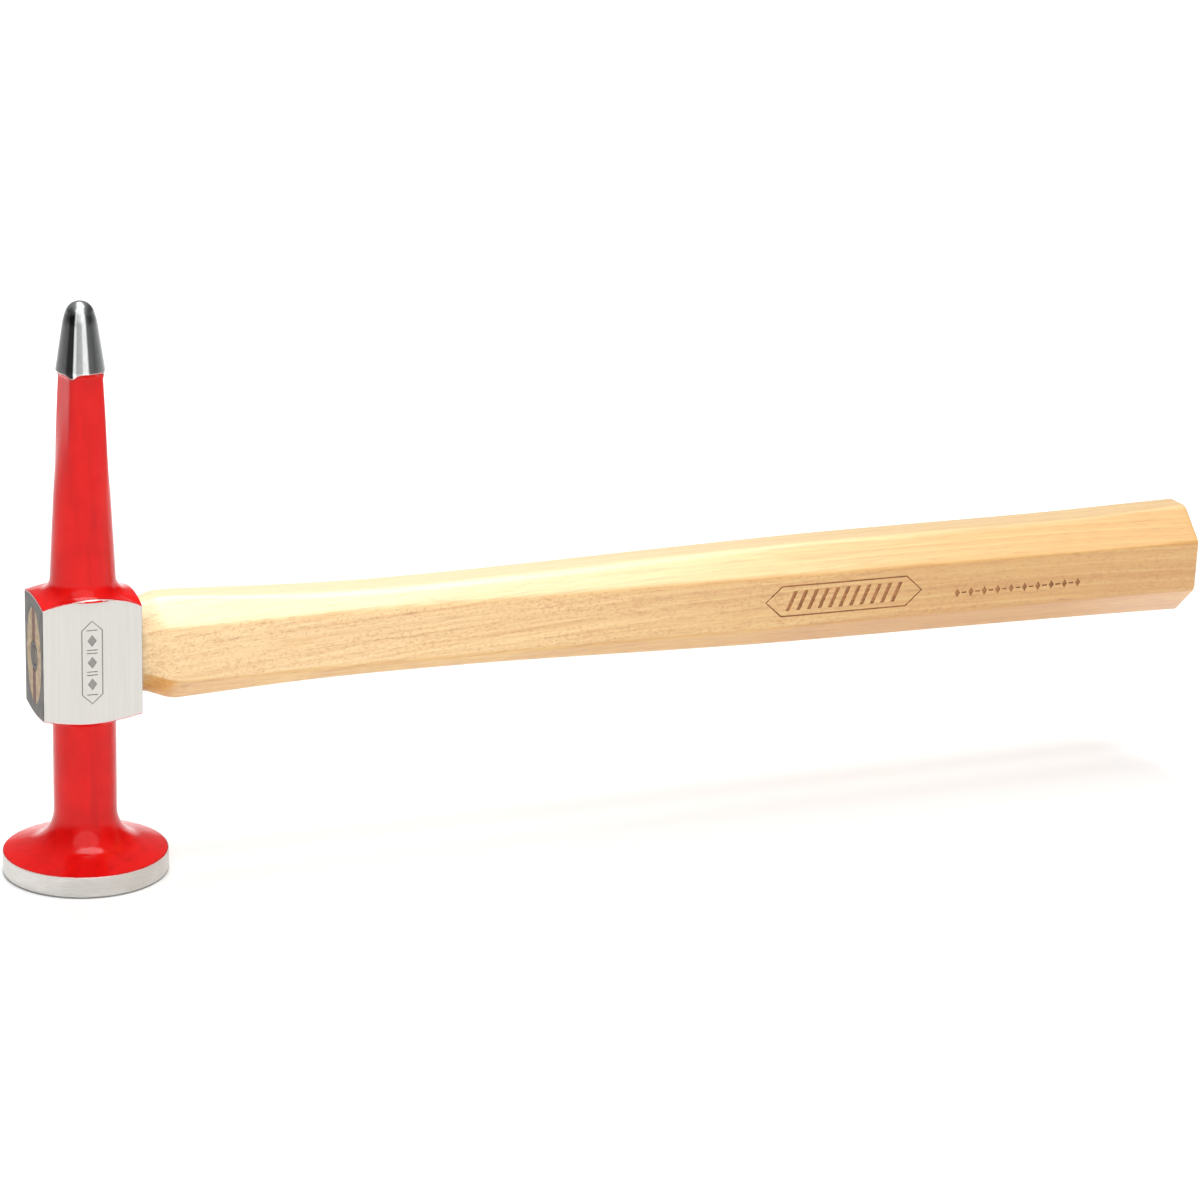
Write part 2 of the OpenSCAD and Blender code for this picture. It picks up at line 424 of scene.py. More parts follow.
def dark_steel(tree):
    """Dark, lightly ground steel with faint scratches: the block's ends and the ring wedge."""
    at = place(tree)
    cloud = grain(tree, at, 0.35, 4, 0.6)
    scratch = grain(tree, place(tree, (2, 0.4, 6), turn=(0.5, 0, 0)), 1.0, 5, 0.7)
    colour = layered(tree, rgb(61, 59, 55), [
        (span(tree, cloud, 0.3, 0.7), rgb(92, 89, 84)),
        (span(tree, scratch, 0.58, 0.7, 0, 0.35), rgb(140, 136, 130)),
    ])
    rough = blend_value(tree, scratch, 0.35, 0.6)
    return principled(tree, {"Base Color": colour, "Metallic": 0.85, "Roughness": rough,
                             "Normal": bump(tree, scratch, 0.35, 0.06)})


def rim_steel(tree):
    """Satin turned steel of the disc's rim and face."""
    turned = grain(tree, place(tree, (0.25, 0.25, 9)), 1.0, 4, 0.6)
    cloud = grain(tree, place(tree), 0.14, 3)
    colour = layered(tree, rgb(188, 186, 181), [
        (span(tree, turned, 0.3, 0.7), rgb(216, 214, 210)),
        (span(tree, cloud, 0.35, 0.7, 0, 0.4), rgb(186, 182, 172)),
    ])
    rough = blend_value(tree, turned, 0.3, 0.42)
    return principled(tree, {"Base Color": colour, "Metallic": 1.0, "Roughness": rough,
                             "Normal": bump(tree, turned, 0.2, 0.03)})


# Painted reflections round the tip, as light and dark lengthwise bands: azimuth in degrees, steel
# reflectance there
TIP_PAINTED_REFLECTIONS = [
    (-180, 0.13), (-142, 0.10), (-137, 0.028), (-122, 0.028), (-119.5, 0.88), (-115.5, 0.88),
    (-112, 0.42), (-99, 0.50), (-96, 0.94), (-86, 0.94), (-82, 0.15), (-66, 0.09), (-46, 0.16),
    (-36, 0.22), (-15, 0.45), (8, 0.60), (16, 0.90), (24, 0.40), (40, 0.14), (66, 0.10),
    (72, 0.75), (84, 0.80), (92, 0.40), (118, 0.55), (132, 0.20), (160, 0.14), (180, 0.13),
]
NOSE_BLEND = (137.4, 139.2)         # heights between which the bands fade into an even grey
NOSE_DULLS = (134.5, 137.5)         # heights between which the polish grows rougher


def polished_steel(tree):
    """Polished steel of the tip: lengthwise light and dark bands of painted reflection, and a
    duller nose.
    """
    at = place(tree)
    axes = add(tree, "ShaderNodeSeparateXYZ", {0: at}).outputs
    azimuth = calc(tree, "ARCTAN2", axes["Y"], axes["X"])
    # Painted reflections: the steel's reflectance changes with azimuth in light and dark bands
    ramp = add(tree, "ShaderNodeValToRGB",
               {0: calc(tree, "MULTIPLY_ADD", azimuth, 0.5 / math.pi, 0.5)})
    stops = ramp.color_ramp.elements
    while len(stops) < len(TIP_PAINTED_REFLECTIONS):
        stops.new(1)
    for stop, (degrees, value) in zip(stops, TIP_PAINTED_REFLECTIONS):
        stop.position = degrees / 360 + 0.5
        stop.color = (value, value, value, 1)
    lines = grain(tree, place(tree, (3.2, 3.2, 0.12)), 1.0, 3, 0.6)
    smear = grain(tree, at, 0.5, 3)
    tint = blend_colour(tree, span(tree, lines, 0.3, 0.7), (0.86, 0.90, 0.88, 1), (1, 1, 1, 1))
    nose = span(tree, axes["Z"], *NOSE_BLEND)
    colour = blend_colour(tree, nose, ramp.outputs[0], (0.55, 0.55, 0.56, 1))
    colour = blend_colour(tree, 1.0, colour, tint, "MULTIPLY")
    rough = blend_value(tree, span(tree, smear, 0.3, 0.8), 0.12, 0.19)
    rough = blend_value(tree, span(tree, axes["Z"], *NOSE_DULLS), rough, 0.27)
    return principled(tree, {"Base Color": colour, "Metallic": 1.0, "Roughness": rough,
                             "Normal": bump(tree, lines, 0.04, 0.01)})


# ---------------------------------------------------------------- wood
PITH_FRONT, PITH_BELOW = 46, 58      # how far the pith lies from the handle's axis, in millimetres
RINGS_PER_MM = 0.42


def hickory():
    """Clear-lacquered hickory: long fibres, growth rings, short dark pores and ray flecks.

    It has painted light, paler towards the head and on top, and painted shade, darker on the sides
    away from the head and underneath.
    """
    material, tree = new_material("hickory_wood")
    drift = grain(tree, place(tree, (0.006, 0.05, 0.05)), 1.0, 2)
    in_mm = place(tree)
    along = add(tree, "ShaderNodeSeparateXYZ", {0: in_mm}).outputs["X"]
    # The grain wanders, and runs out slowly along the handle
    rise = grain(tree, place(tree, (0.005, 0.04, 0.04), (31, 7, 3)), 1.0, 2)
    slant = times(tree, along, calc(tree, "MULTIPLY_ADD", along, 0.0002, -0.09))
    shift = add(tree, "ShaderNodeCombineXYZ", {
        "Y": calc(tree, "MULTIPLY_ADD", drift, 9.0, -4.5),
        "Z": calc(tree, "MULTIPLY_ADD", rise, 7.0, slant),
    }).outputs[0]
    at = add(tree, "ShaderNodeVectorMath", {0: in_mm, 1: shift}, operation="ADD").outputs[0]

    def stretched(scale, offset=(0, 0, 0), detail=3.0, rough=0.55):
        mapped = add(tree, "ShaderNodeMapping",
                     {"Vector": at, "Scale": scale, "Location": offset}).outputs[0]
        return grain(tree, mapped, 1.0, detail, rough)

    # Growth rings: shells round a pith that lies outside the blank
    centred = add(tree, "ShaderNodeMapping", {
        "Vector": at, "Location": (0, PITH_FRONT, PITH_BELOW - EYE_Z), "Scale": (0.015, 1, 1),
    }).outputs[0]
    reach = add(tree, "ShaderNodeVectorMath", {0: centred}, operation="LENGTH").outputs["Value"]
    year = calc(tree, "FRACT", times(tree, reach, RINGS_PER_MM))
    early = times(tree, span(tree, year, 0.52, 0.86), span(tree, year, 0.99, 0.90))
    late = times(tree, span(tree, year, 0.0, 0.10), span(tree, year, 0.36, 0.12))

    broad = stretched((0.004, 0.09, 0.09), (5, 1, 2))
    fibre = stretched((0.014, 1.3, 1.3), (0, 3, 9), 5, 0.6)
    fine = stretched((0.06, 4.5, 4.5), (9, 4, 1), 3, 0.6)
    pores = stretched((0.16, 3.6, 3.6), (2, 8, 5), 2, 0.5)
    dashes = times(tree, span(tree, pores, 0.58, 0.68), calc(tree, "MULTIPLY_ADD", early, 0.7, 0.3))

    # Rays show as short flecks on the two wide sides
    normal = add(tree, "ShaderNodeNewGeometry").outputs["Normal"]
    facing = add(tree, "ShaderNodeSeparateXYZ", {0: normal}).outputs
    side = span(tree, calc(tree, "ABSOLUTE", facing["Y"]), 0.8, 0.97)
    flecks = span(tree, stretched((0.9, 0.12, 1.5), (4, 4, 4), 6, 0.75), 0.49, 0.60)
    patch = span(tree, stretched((0.03, 0.1, 0.16), (8, 1, 7)), 0.34, 0.62, 0.35, 1)
    flecks = times(tree, flecks, times(tree, side, patch))

    # Painted light: the wood grows paler towards the head, standing in for the stronger light there
    painted_light_near_head = span(tree, along, 40, 250, 1, 0)
    uneven = stretched((0.012, 0.22, 0.22), (7, 2, 5), 3, 0.6)
    ring = span(tree, uneven, 0.35, 0.65, 0.25, 1)
    lines = times(tree, span(tree, fine, 0.45, 0.75), calc(tree, "MULTIPLY_ADD", side, -0.35, 0.70))
    # Painted light: faces turned upwards are paler and creamier, most near the head, standing in
    # for the overhead light and its sheen on the lacquer
    top = times(tree, span(tree, facing["Z"], 0.45, 0.9),
                calc(tree, "MULTIPLY_ADD", painted_light_near_head, 0.40, 0.24))
    colour = layered(tree, rgb(206, 152, 88), [
        (span(tree, broad, 0.3, 0.7), rgb(224, 178, 116)),
        # Painted light: paler near the head
        (times(tree, painted_light_near_head, 0.6), rgb(252, 224, 182)),
        (span(tree, fibre, 0.42, 0.68, 0, 0.36), rgb(202, 144, 82)),
        (times(tree, times(tree, early, ring), 0.24), rgb(196, 132, 70)),
        (times(tree, times(tree, late, ring), 0.22), rgb(248, 220, 164)),
        (lines, rgb(186, 124, 66)),
        (times(tree, flecks, 0.46), rgb(184, 118, 66)),
        (times(tree, dashes, 0.42), rgb(150, 90, 46)),
        # Painted light: paler and creamier on top
        (top, rgb(255, 240, 206)),
    ])
    # Painted shade: the sides darken away from the head
    painted_side_shade = times(tree, side, calc(tree, "MULTIPLY_ADD", painted_light_near_head, -0.85, 1.0))
    colour = layered(tree, colour, [
        # Painted shade: faces turned downwards are darker and more orange
        (span(tree, facing["Z"], -0.25, -0.6), (0.85, 0.74, 0.42, 1)),
        (painted_side_shade, (0.87, 0.86, 0.78, 1)),
        (1.0, (0.99, 1.0, 0.90, 1)),
    ], "MULTIPLY")
    hollows = times(tree, calc(tree, "ADD", dashes, flecks), -0.6)
    height = calc(tree, "MULTIPLY_ADD", fibre, 0.5, hollows)
    rough = blend_value(tree, fibre, 0.36, 0.5)
    surface = principled(tree, {"Base Color": colour, "Roughness": rough,
                                "Normal": bump(tree, height, 0.3, 0.05),
                                "Coat Weight": 1.0, "Coat Roughness": 0.27, "Coat IOR": 1.55})
    finish_material(tree, surface)
    return material


def burned_wood():
    """Wood scorched by the marking iron: dark, dry and fibrous."""
    material, tree = new_material("burned_wood")
    fibre = grain(tree, place(tree, (0.08, 2.4, 2.4)), 1.0, 4, 0.6)
    cloud = grain(tree, place(tree), 0.4, 3)
    colour = layered(tree, rgb(150, 98, 58), [
        (span(tree, fibre, 0.3, 0.7), rgb(176, 122, 76)),
        (span(tree, cloud, 0.4, 0.7, 0, 0.6), rgb(120, 76, 46)),
    ])
    finish_material(tree, principled(tree, {"Base Color": colour, "Roughness": 0.7,
                                            "Normal": bump(tree, fibre, 0.5, 0.08)}))
    return material


def engraved_steel():
    """Bottom of an engraved line: dull, darker steel."""
    material, tree = new_material("engraved_steel")
    cloud = grain(tree, place(tree), 1.2, 4)
    colour = blend_colour(tree, cloud, rgb(128, 126, 121), rgb(166, 163, 158))
    finish_material(tree, principled(tree, {"Base Color": colour, "Metallic": 0.6, "Roughness": 0.6,
                                            "Normal": bump(tree, cloud, 0.4, 0.03)}))
    return material


def end_grain(name, light, dark, grime):
    """Sawn end grain: clouded, with rays, pores as dots, and darker grey round the eye's middle,
    where the ring wedge sits.
    """
    material, tree = new_material(name)
    at = place(tree)
    cloud = grain(tree, at, 0.6, 4, 0.6)
    rays = grain(tree, place(tree, (1, 0.5, 5)), 1.0, 3)
    cells = add(tree, "ShaderNodeTexVoronoi", {"Vector": place(tree, (0.4, 3.2, 3.2))}).outputs[0]
    dots = span(tree, cells, 0.05, 0.3, 1, 0)
    from_core = add(tree, "ShaderNodeVectorMath", {0: place(tree, (0, 1, 1), (0, 0, -EYE_Z))},
                    operation="LENGTH").outputs["Value"]
    core = span(tree, calc(tree, "MULTIPLY_ADD", cloud, 1.6, from_core), 2.8, 4.6, 0.85, 0)
    colour = layered(tree, light, [
        (span(tree, cloud, 0.3, 0.7), dark),
        (span(tree, rays, 0.5, 0.75, 0, 0.4), dark),
        (times(tree, dots, 0.35), grime),
        (core, rgb(84, 78, 74)),
    ])
    height = calc(tree, "SUBTRACT", cloud, dots)
    finish_material(tree, principled(tree, {"Base Color": colour, "Roughness": 0.6,
                                            "Normal": bump(tree, height, 0.5, 0.1)}))
    return material


# ---------------------------------------------------------------- plain engraved marks
def hexagon(x, z, half_x, half_z, point, inset=0.0):
    """Long hexagon round (x, z), pointed at both ends; point is each point's length."""
    a, b = half_x - inset, half_z - inset
    if half_x > half_z:
        flat = a - point
        corners = [(a, 0), (flat, b), (-flat, b), (-a, 0), (-flat, -b), (flat, -b)]
    else:
        flat = b - point
        corners = [(0, b), (-a, flat), (-a, -flat), (0, -b), (a, -flat), (a, flat)]
    return [(x + dx, z + dz) for dx, dz in corners]


def diamond(x, z, half_x, half_z):
    return [(x + half_x, z), (x, z + half_z), (x - half_x, z), (x, z - half_z)]


def bar(x, z, half_x, half_z, lean=0.0):
    """Bar whose top is moved by lean to +X and whose foot is moved as far to -X."""
    return [(x + half_x + lean, z + half_z), (x - half_x + lean, z + half_z),
            (x - half_x - lean, z - half_z), (x + half_x - lean, z - half_z)]


def split_edges(loop, parts=8):
    """Same outline with every edge in equal parts, so that it can follow a curved face."""
    return [(p[0] + (q[0] - p[0]) * k / parts, p[1] + (q[1] - p[1]) * k / parts)
            for p, q in zip(loop, loop[1:] + loop[:1]) for k in range(parts)]


def engrave(piece, plates, bands, face_y, depth, material):
    """Cuts plates and bands depth deep into the piece's -Y face, which is at -face_y(x).

    A plate is one outline, a band an outer and an inner one. The cuts' floors get the material.
    """
    points, faces = [], []

    def ring(loop, out):
        first = len(points)
        points.extend((x, -face_y(x) - out, z) for x, z in loop)
        return first

    for shape in [(plate,) for plate in plates] + bands:
        loops = [split_edges(loop) for loop in shape]
        n = len(loops[0])
        over = [ring(loop, OVERCUT) for loop in loops]
        under = [ring(loop, -depth) for loop in loops]
        for k in range(n):
            m = (k + 1) % n
            for a, b in zip(over, under):
                faces.append((a + k, a + m, b + m, b + k))
            if len(loops) == 2:
                faces += [(outer + k, outer + m, inner + m, inner + k)
                          for outer, inner in (over, under)]
        if len(loops) == 1:
            for level, out in ((over[0], OVERCUT), (under[0], -depth)):
                x, z = (sum(p[i] for p in loops[0]) / n for i in range(2))
                points.append((x, -face_y(x) - out, z))
                faces += [(level + k, level + (k + 1) % n, len(points) - 1) for k in range(n)]
    tool = mesh_object("mark_tool", points, faces)
    face_outwards(tool)
    cut(piece, tool)
    piece.data.materials.append(material)
    low_x, high_x = min(p[0] for p in points), max(p[0] for p in points)
    low_z, high_z = min(p[2] for p in points), max(p[2] for p in points)
    for face in piece.data.polygons:
        x, y, z = face.center / MM
        inside = low_x <= x <= high_x and low_z <= z <= high_z
        if inside and depth * 0.4 < y + face_y(x) < depth * 2:
            face.material_index = len(piece.data.materials) - 1


def mark_block(head):
    """Upright hexagon with diamonds and bars in it, on the block's front."""
    x, z = -0.2, EYE_Z
    border = (hexagon(x, z, 2.6, 10.4, 2.4), hexagon(x, z, 2.6, 10.4, 2.2, 0.28))
    plates = [diamond(x, z + dz, 1.15, 1.5) for dz in (-5.4, 0, 5.4)]
    plates += [bar(x, z + dz, 1.3, 0.13) for dz in (-3.1, -2.3, 2.3, 3.1, -8.0, 8.0)]
    engrave(head, plates, [border], lambda at: BLOCK_Y, 0.14, engraved_steel())


def mark_handle(handle):
    """Long hexagon with slanted bars burned into the side, and a row of small diamonds after it."""
    x, z = 197, EYE_Z + 0.2
    row = range(230, 270, 4)
    border = (hexagon(x, z, 22.5, 4.2, 4.6), hexagon(x, z, 22.5, 4.2, 4.3, 0.42))
    plates = [bar(x + dx, z, 0.55, 2.6, 1.1) for dx in range(-15, 16, 3)]
    plates += [diamond(at, z - 1.8, 0.75, 1.2) for at in row]
    plates += [bar(at + 2, z - 1.8, 0.7, 0.2) for at in row[:-1]]
    engrave(handle, plates, [border], lambda at: smooth_at(WIDTHS, at) / 2, 0.22, burned_wood())


# ---------------------------------------------------------------- head
# Zones of the surface in the order of their material slots: the material's name, the bare steel
ZONES = {
    "rim": ("rim_steel", rim_steel),
    "paint": ("red_enamel", ground_steel),
    "block_face": ("block_steel", ground_steel),
    "block_end": ("block_end_steel", dark_steel),
    "tip": ("tip_steel", polished_steel),
}
SLOTS = {zone: i for i, zone in enumerate(ZONES)}


def block_rise(r):
    """How much higher the block's roof is at radius r than at its corners."""
    return BLOCK_SLOPE * (BLOCK_CORNER_R - r)


def block_drop(r, angle):
    """How much lower the top of the block is ground at the corners on the handle's side."""
    return BLOCK_DROP * max(0, r - BLOCK_DROP_R) ** 2 * (0.5 + 0.5 * math.cos(angle))


def paint_line(angle):
    """Height at which the enamel stops under the tip: slanting, and lower at the corners."""
    height, slant, highest_at = 1.3, 0.35, math.radians(-70)
    corners, corner_width = (-125, -24, 58, 146), 13      # in degrees
    dip = 0
    for corner in corners:
        off = (math.degrees(angle) - corner + 180) % 360 - 180
        dip = max(dip, math.exp(-((off / corner_width) ** 2)))
    return SHANK_TOP_Z + height + slant * math.cos(angle - highest_at) - dip


def head_column(angle):
    """One upright outline of the head, from the striking face to the nose: (r, z, zone, coat)."""
    edge_r = rect_radius(angle, BLOCK_X, BLOCK_Y, BLOCK_EDGE)
    low, high = EYE_Z - BLOCK_HALF_H, EYE_Z + BLOCK_HALF_H
    foot = (NECK_R, RIM_H + DISC_SLOPE * (DISC_R - NECK_R))
    nose_lean = math.atan2(TIP_WAIST[0] - NOSE_TOP_R, NOSE_Z - TIP_WAIST[1])
    nose_r = 0.995 * NOSE_TOP_R * math.tan(math.pi / 4 + nose_lean / 2)
    drop = block_drop(edge_r, angle)
    bottom, top = low - block_rise(edge_r), high + block_rise(edge_r) - drop
    # corner r and z, radius, arc steps, steps to the next corner, zone after the corner
    corners = [
        ((FACE_CENTRE_R, 0), 0, 0, 8, "rim"),
        ((DISC_R, 0), FACE_EDGE, 4, 5, "rim"),
        ((DISC_R, RIM_H), RIM_TOP_EDGE, 4, 14, "paint"),
        (foot, DISC_FILLET_R, 14, 16, "paint"),
        ((NECK_R, low - block_rise(NECK_R)), NECK_FILLET_R, 6, 5, "paint"),
        ((edge_r, bottom), BLOCK_EDGE, 4, 22, "side"),
        ((edge_r, top), BLOCK_EDGE, 4, 5, "paint"),
        ((SHANK_R, high + block_rise(SHANK_R)), SHANK_FILLET_R, 12, 44, "paint"),
        ((SHANK_TOP_R, SHANK_TOP_Z), TIP_STEP_R, 3, 5, "tip"),
        ((TIP_R, TIP_WIDE_Z), TIP_EDGE, 5, 12, "tip"),
        (TIP_WAIST, TIP_WAIST_R, 4, 4, "tip"),
        ((NOSE_TOP_R, NOSE_Z), nose_r, 14, 0, "tip"),
    ]
    places = [corners[0][0]] + [corner[0] for corner in corners] + [(0, NOSE_Z)]
    arcs = [corner_arc(*places[i:i + 3], radius, arc_steps)
            for i, (_, radius, arc_steps, _, _) in enumerate(corners)]
    column = []
    zone_before = "rim"
    for i, (arc, (_, _, _, steps, zone)) in enumerate(zip(arcs, corners)):
        middle = (len(arc) - 1) / 2
        column += [(p.x, p.y, zone_before if k < middle else zone) for k, p in enumerate(arc)]
        for k in range(1, steps):
            p = arc[-1].lerp(arcs[i + 1][0], k / steps)
            column.append((p.x, p.y, zone))
        zone_before = zone
    return [(r, z, zone, coat_depth(r, z, zone, angle, edge_r, (bottom, top)))
            for r, z, zone in column]


def coat_depth(r, z, zone, angle, edge_r, block_ends):
    """Signed distance inside the enamel, positive where there is paint.

    edge_r is the block's radius and block_ends its lowest and highest side heights, at this angle.
    """
    bottom, top = block_ends
    if z < RIM_H + 0.6 and r > DISC_R - 1.5:
        return (z - RIM_H) + (DISC_R - r) * 0.94 - 0.12
    if zone == "rim":
        return UNPAINTED
    if z > SHANK_TOP_Z - 8:
        return paint_line(angle) - z
    by_block = EYE_Z - BLOCK_HALF_H - 4 < z < EYE_Z + BLOCK_HALF_H + 4
    if zone == "side" or (by_block and abs(r - edge_r) < 0.8):
        return max(z - top, bottom - z) + (edge_r - r) * 0.9 + 0.1
    return PAINTED


def head_angles():
    """Directions of the columns: even, and closer together round the block's upright edges."""
    first = math.atan2(BLOCK_Y - BLOCK_EDGE, BLOCK_X)
    last = math.atan2(BLOCK_Y, BLOCK_X - BLOCK_EDGE)
    quarter = [first * k / 16 for k in range(16)]
    quarter += [first + (last - first) * k / 5 for k in range(5)]
    quarter += [last + (math.pi / 2 - last) * k / 20 for k in range(20)]
    half = quarter + [math.pi / 2] + [math.pi - a for a in reversed(quarter[1:])]
    return half + [a + math.pi for a in half]


def place_key(point):
    """Key of a place, to a thousandth of a millimetre."""
    return tuple(round(v / MM * 1000) for v in point)


def squared(r, z, angle):
    """Radius at z after the upper shank has been made partly four-sided."""
    share = ease((z - SQUARE_FROM_Z) / (SQUARE_FULL_Z - SQUARE_FROM_Z))
    share *= ease((TIP_WIDE_Z - z) / SQUARE_FADE)
    if share == 0:
        return r
    flat = r * SQUARE_FLAT
    return r + (rect_radius(angle - SQUARE_TURN, flat, flat, r * SQUARE_CORNER) - r) * share


def make_head():
    """Head built from its outlines, with the eye cut out and the mark engraved."""
    angles = head_angles()
    columns = [head_column(a) for a in angles]
    rings, coats, slots = [], [], []
    for rows in zip(*columns):
        ring, slot_ring = [], []
        for angle, (r, z, zone, coat) in zip(angles, rows):
            r = squared(r, z, angle)
            ring.append((r * math.cos(angle), r * math.sin(angle), z))
            coats.append(coat)
            if zone == "side":
                wide = abs(math.sin(angle)) * BLOCK_X > abs(math.cos(angle)) * BLOCK_Y
                zone = "block_face" if wide else "block_end"
            slot_ring.append(SLOTS[zone])
        rings.append(ring)
        slots.append(slot_ring)
    head = grid_object("head_body", rings, slots)
    coats += [coats[0], coats[-1]]      # the centres of the two end fans
    coat_at = {place_key(v.co): coat for v, coat in zip(head.data.vertices, coats)}
    face_outwards(head)
    over, eye_steps = 0.6, 96
    eye = [[oval_point(x, math.tau * k / eye_steps) for k in range(eye_steps)]
           for x in (-BLOCK_X - over, BLOCK_X + over)]
    tool = grid_object("eye_tool", eye)
    face_outwards(tool)
    cut(head, tool)
    for name, steel in ZONES.values():
        head.data.materials.append(coated_steel(name, steel))
    mark_block(head)
    # Cutting loses attributes, so the coat is found again by place; new vertices are bare
    coats = [coat_at.get(place_key(v.co), CUT_SURFACE) for v in head.data.vertices]
    head.data.attributes.new("coat", "FLOAT", "POINT").data.foreach_set("value", coats)
    shade(head, 40)
    return head


# ---------------------------------------------------------------- handle
TENON_RINGS, NECK_RINGS, GRIP_RINGS, BUTT_RINGS, END_RINGS = 9, 13, 150, 5, 8
FACET_STEPS = (7, 6, 5, 6) * 2       # side, slant, top, slant, and the same again
ARC_STEPS = 5


def octagon(half_y, half_z, softness):
    """Outline of the eight-sided grip, corners rounded, from the +Y side's lower corner upwards."""
    slant = (half_y + SIDE_FLAT) * math.sqrt(0.5)
    top_y = slant / math.sqrt(0.5) - half_z
    corners = [(half_y, SIDE_FLAT), (top_y, half_z)]
    corners += [(-y, z) for y, z in reversed(corners)]
    corners += [(-y, -z) for y, z in corners]
    corners = corners[-1:] + corners[:-1]
    arcs = [corner_arc(corners[i - 1], corners[i], corners[(i + 1) % 8], softness, ARC_STEPS)
            for i in range(8)]
    outline = []
    for arc, following, steps in zip(arcs, arcs[1:] + arcs[:1], FACET_STEPS):
        outline += arc
        outline += [arc[-1].lerp(following[0], k / steps) for k in range(1, steps)]
    return outline


def facet_softness(x):
    """Radius of the facets' edges: soft behind the head, then crisp, and eased at the end."""
    crisp, soft, end = 1.3, 2.1, 1.2
    behind_head = ease((x - 20) / 45) * (1 - ease((x - 120) / 150))
    return crisp + soft * behind_head + end * ease((x - 285) / 18)


def handle_outline(x, inset=0):
    """Outline of the grip at x, made smaller by inset all round."""
    half_y = smooth_at(WIDTHS, x) / 2 - inset
    half_z = smooth_at(HEIGHTS, x) / 2 - inset
    return octagon(half_y, half_z, facet_softness(x))


def handle_ring(x, outline):
    """Ring of points at x, with the slight waviness of sanding by hand."""
    size, along, across = 0.10, 0.03, 0.12
    ring = []
    for p in outline:
        wave = noise.noise(Vector((x * along, p.x * across, p.y * across))) * size
        n = p.normalized() * wave
        ring.append((x, p.x + n.x, EYE_Z + p.y + n.y))
    return ring


def make_handle():
    """Tenon, neck, grip and rounded butt in one skin, with the wedges' slots cut out."""
    shoulder = handle_outline(SHOULDER_X)
    half_y, half_z = eye_half(BLOCK_X)
    oval = []
    for p in shoulder:
        t = math.atan2(p.y / half_z, p.x / half_y)
        oval.append(Vector((half_y * math.cos(t), half_z * math.sin(t))))
    angles = [math.atan2(p.y / half_z, p.x / half_y) for p in oval]
    rings = [[oval_point(x, t) for t in angles]
             for x in np.linspace(-BLOCK_X, BLOCK_X, TENON_RINGS)]
    for k in range(NECK_RINGS):
        # The upper half widens sooner than the lower one
        share = k / NECK_RINGS
        low, high = ease(share), 0.5 + 0.5 * ease(1.6 * share)
        x = BLOCK_X + 0.05 + (SHOULDER_X - BLOCK_X) * share
        neck = []
        for a, b in zip(oval, shoulder):
            up = ease(0.5 + 0.5 * a.y / half_z)
            neck.append(a.lerp(b, low + (high - low) * up))
        rings.append(handle_ring(x, neck))
    for x in np.linspace(SHOULDER_X, REACH - BUTT_R, GRIP_RINGS):
        rings.append(handle_ring(x, handle_outline(x)))
    for k in range(1, BUTT_RINGS + 1):
        t = math.pi / 2 * k / BUTT_RINGS
        rings.append(handle_ring(REACH - BUTT_R + BUTT_R * math.sin(t),
                                 handle_outline(REACH, BUTT_R * (1 - math.cos(t)))))
    last = rings[-1]
    centre = sum((Vector(p) for p in last), Vector()) / len(last)
    for k in range(1, END_RINGS):
        rings.append([Vector(p).lerp(centre, k / END_RINGS) for p in last])
    handle = grid_object("handle_wood", rings)
    face_outwards(handle)
    cut(handle, wedge_solid("wedge_tool", OVERCUT))
    cut(handle, ring_solid("ring_tool", OVERCUT))
    handle.data.materials.append(hickory())
    handle.data.materials.append(
        end_grain("tenon_end", rgb(196, 172, 138), rgb(158, 130, 96), rgb(96, 74, 54)))
    for face in handle.data.polygons:
        if face.center.x < (-BLOCK_X + 0.05) * MM:
            face.material_index = 1
    mark_handle(handle)
    shade(handle, 35)
    return handle


# ---------------------------------------------------------------- wedges
def wedge_solid(name, over=0.0):
    """Wooden wedge: thick outside, thin inside, its long edges trimmed to the oval eye.

    over is how far it stands out at its thick end.
    """
    depth = WEDGE_HIGH.x - WEDGE_LOW.x
    rings = []
    for x in np.linspace(WEDGE_LOW.x - over, WEDGE_HIGH.x, 14):
        share = (x - WEDGE_LOW.x) / depth
        half_t = (WEDGE_T + (WEDGE_EDGE_T - WEDGE_T) * share) / 2
        half_y, half_z = eye_half(x)
        top = [(y, half_z * math.sqrt(1 - (y / half_y) ** 2))
               for y in np.linspace(half_t, -half_t, 7)]
        outline = top + [(-y, -z) for y, z in top]
        rings.append([(x, y, EYE_Z + z) for y, z in outline])
    made = grid_object(name, rings)
    face_outwards(made)
    return made


def ring_solid(name, over=0.0, crown=0.0):
    """Steel ring wedge: plain bore, tapered outside, its outer end's edges bevelled by crown."""
    depth = RING_HIGH.x - RING_LOW.x
    bore = RING_R - RING_WALL
    outer = RING_R + (RING_R - bore - RING_EDGE_T) * over / depth
    x0 = RING_LOW.x - over
    loop = [(bore, x0 + crown)]
    if crown:
        loop += [(bore + crown, x0), (outer - crown, x0)]
    loop += [(outer, x0 + crown), (bore + RING_EDGE_T, RING_HIGH.x), (bore, RING_HIGH.x)]
    steps = 64
    points = [(x, r * math.cos(math.tau * k / steps), EYE_Z + r * math.sin(math.tau * k / steps))
              for k in range(steps) for r, x in loop]
    n = len(loop)
    faces = []
    for k in range(steps):
        here, after = k * n, (k + 1) % steps * n
        faces += [(here + i, here + (i + 1) % n, after + (i + 1) % n, after + i) for i in range(n)]
    made = mesh_object(name, points, faces)
    face_outwards(made)
    return made


